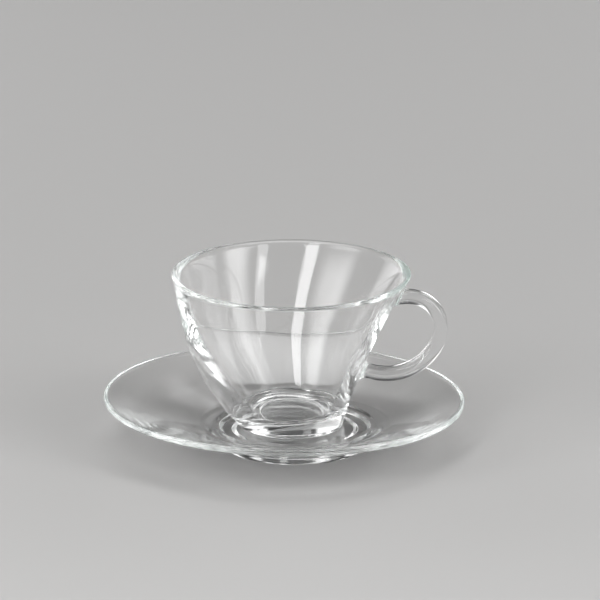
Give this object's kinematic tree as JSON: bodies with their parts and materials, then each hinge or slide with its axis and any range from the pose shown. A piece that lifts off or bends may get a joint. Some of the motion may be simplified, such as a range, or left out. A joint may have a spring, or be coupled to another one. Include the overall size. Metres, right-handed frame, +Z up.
{
  "type": "glass tea cup and saucer",
  "caption": "Clear pressed-glass tea cup with a leaning body, a ring handle and a round foot, standing in the well of its round glass saucer.",
  "frame": {"origin": "on the table, under the middle of the saucer's outline", "axes": "+Z up, +X towards the handle"},
  "size_m": [0.1446, 0.1446, 0.0709],
  "materials": {
    "cup_glass": "clear fire-polished pressed glass",
    "saucer_glass": "clear fire-polished pressed glass"
  },
  "bodies": {
    "root": {"cup": "cup_glass", "saucer": "saucer_glass"}
  },
  "joints": []
}
